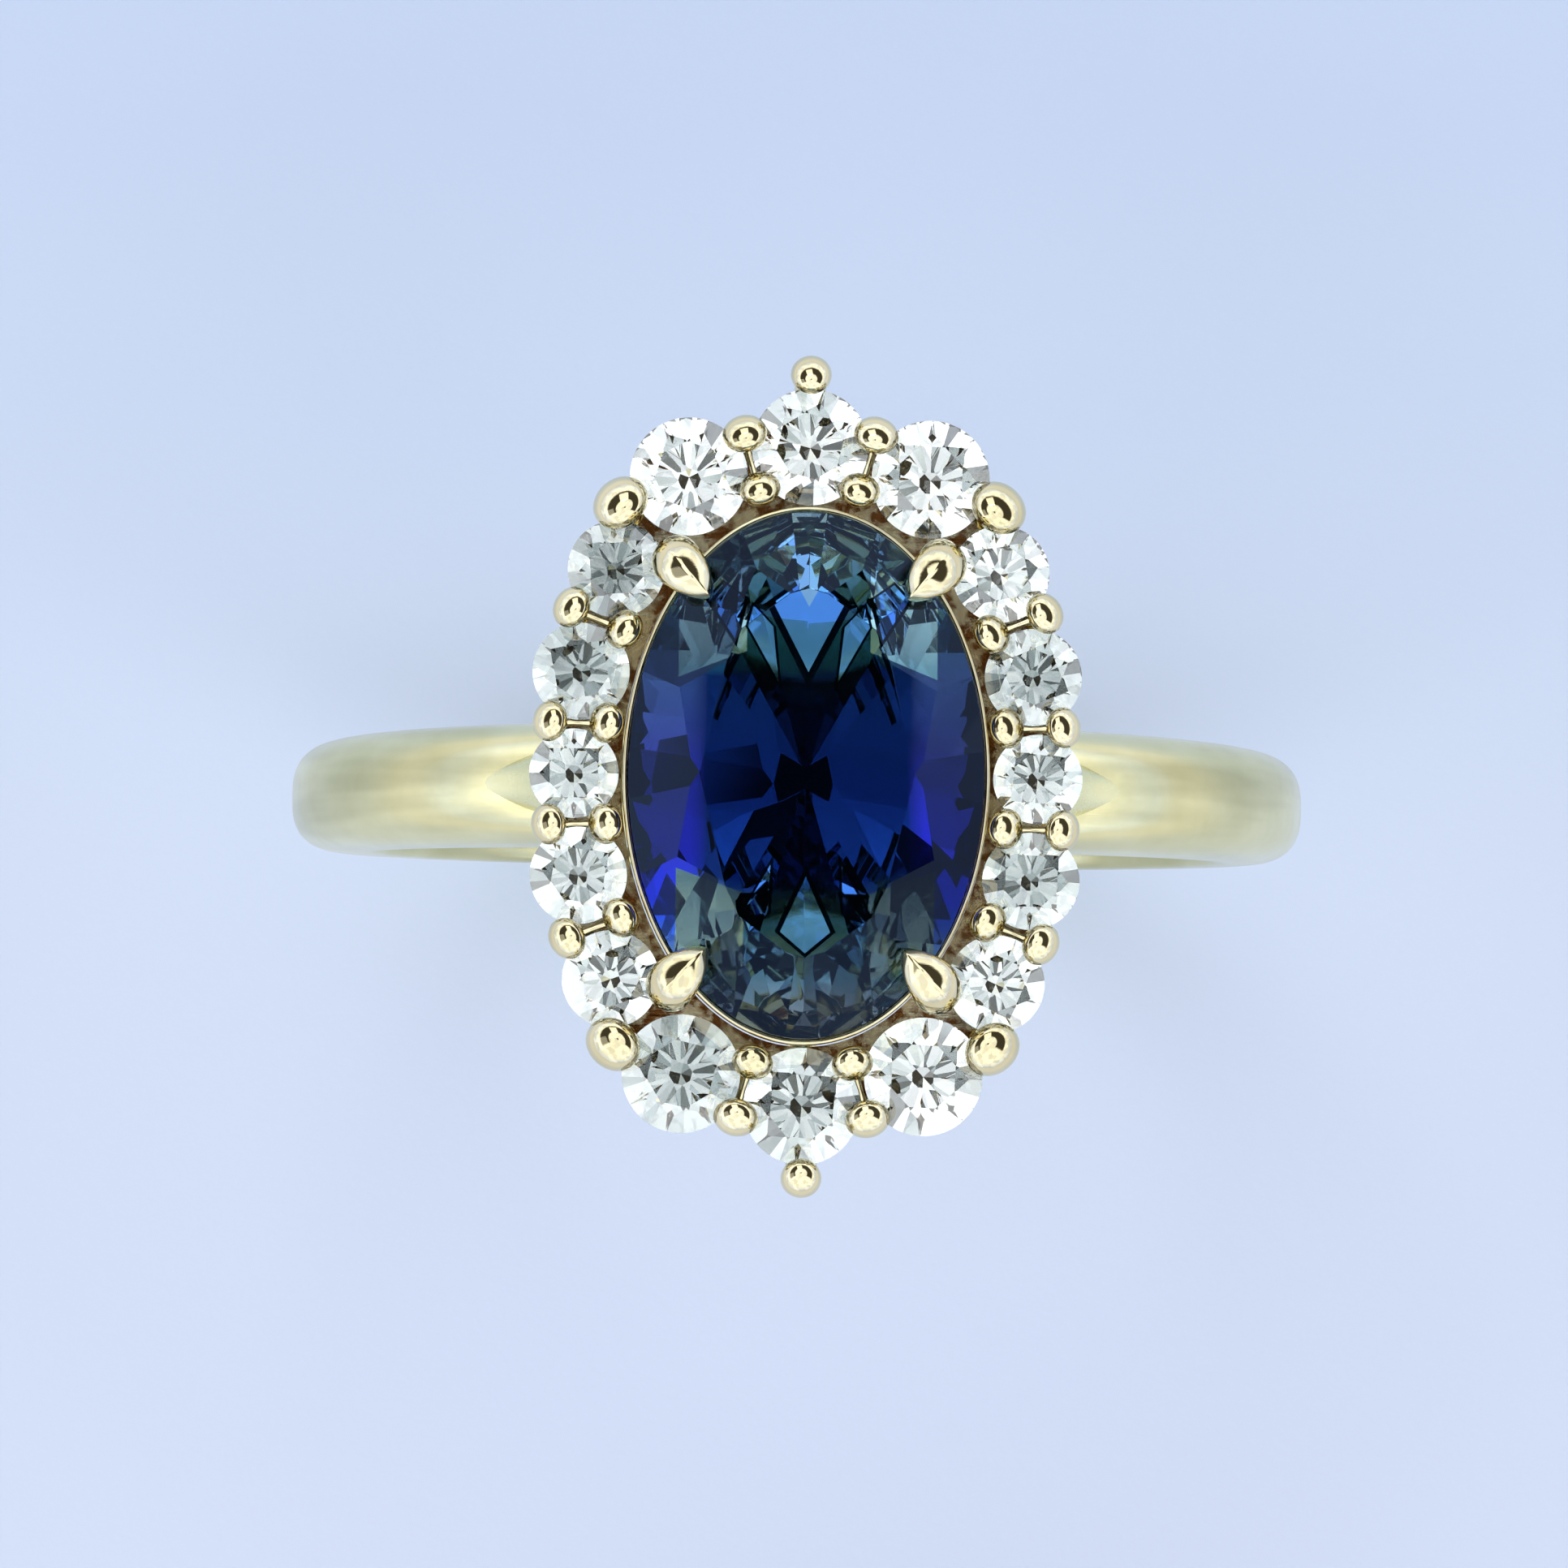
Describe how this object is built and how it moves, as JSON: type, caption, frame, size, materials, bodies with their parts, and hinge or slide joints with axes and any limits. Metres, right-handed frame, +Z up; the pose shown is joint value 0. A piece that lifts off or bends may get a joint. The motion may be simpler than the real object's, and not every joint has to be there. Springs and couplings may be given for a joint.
{
  "type": "engagement ring",
  "caption": "Yellow-gold engagement ring with an oval blue centre stone in talon claws, a scalloped halo of round brilliants on shared beads and a plain low-domed band.",
  "frame": {"origin": "centre of the finger hole", "axes": "+Y along the finger, +Z up through the head and the centre stone, +X across the band"},
  "size_m": [0.0208, 0.016, 0.0248],
  "materials": {
    "gold": "polished",
    "sapphire": "faceted",
    "diamond": "faceted"
  },
  "bodies": {
    "root": {"shank": "gold", "shoulder_left": "gold", "shoulder_right": "gold", "base_rail": "gold", "gallery_rail": "gold", "halo_rail": "gold", "strut_north": "gold", "strut_south": "gold", "claw_ne": "gold", "claw_se": "gold", "claw_sw": "gold", "claw_nw": "gold", "rim_north": "gold", "rim_south": "gold", "rim_east": "gold", "rim_west": "gold", "halo_plate": "gold", "tip_prongs": "gold", "corner_prongs": "gold", "outer_prongs": "gold", "inner_prongs": "gold", "centre_stone": "sapphire", "halo_stone_01": "diamond", "halo_stone_02": "diamond", "halo_stone_03": "diamond", "halo_stone_04": "diamond", "halo_stone_05": "diamond", "halo_stone_06": "diamond", "halo_stone_07": "diamond", "halo_stone_08": "diamond", "halo_stone_09": "diamond", "halo_stone_10": "diamond", "halo_stone_11": "diamond", "halo_stone_12": "diamond", "halo_stone_13": "diamond", "halo_stone_14": "diamond", "halo_stone_15": "diamond", "halo_stone_16": "diamond"}
  },
  "joints": []
}
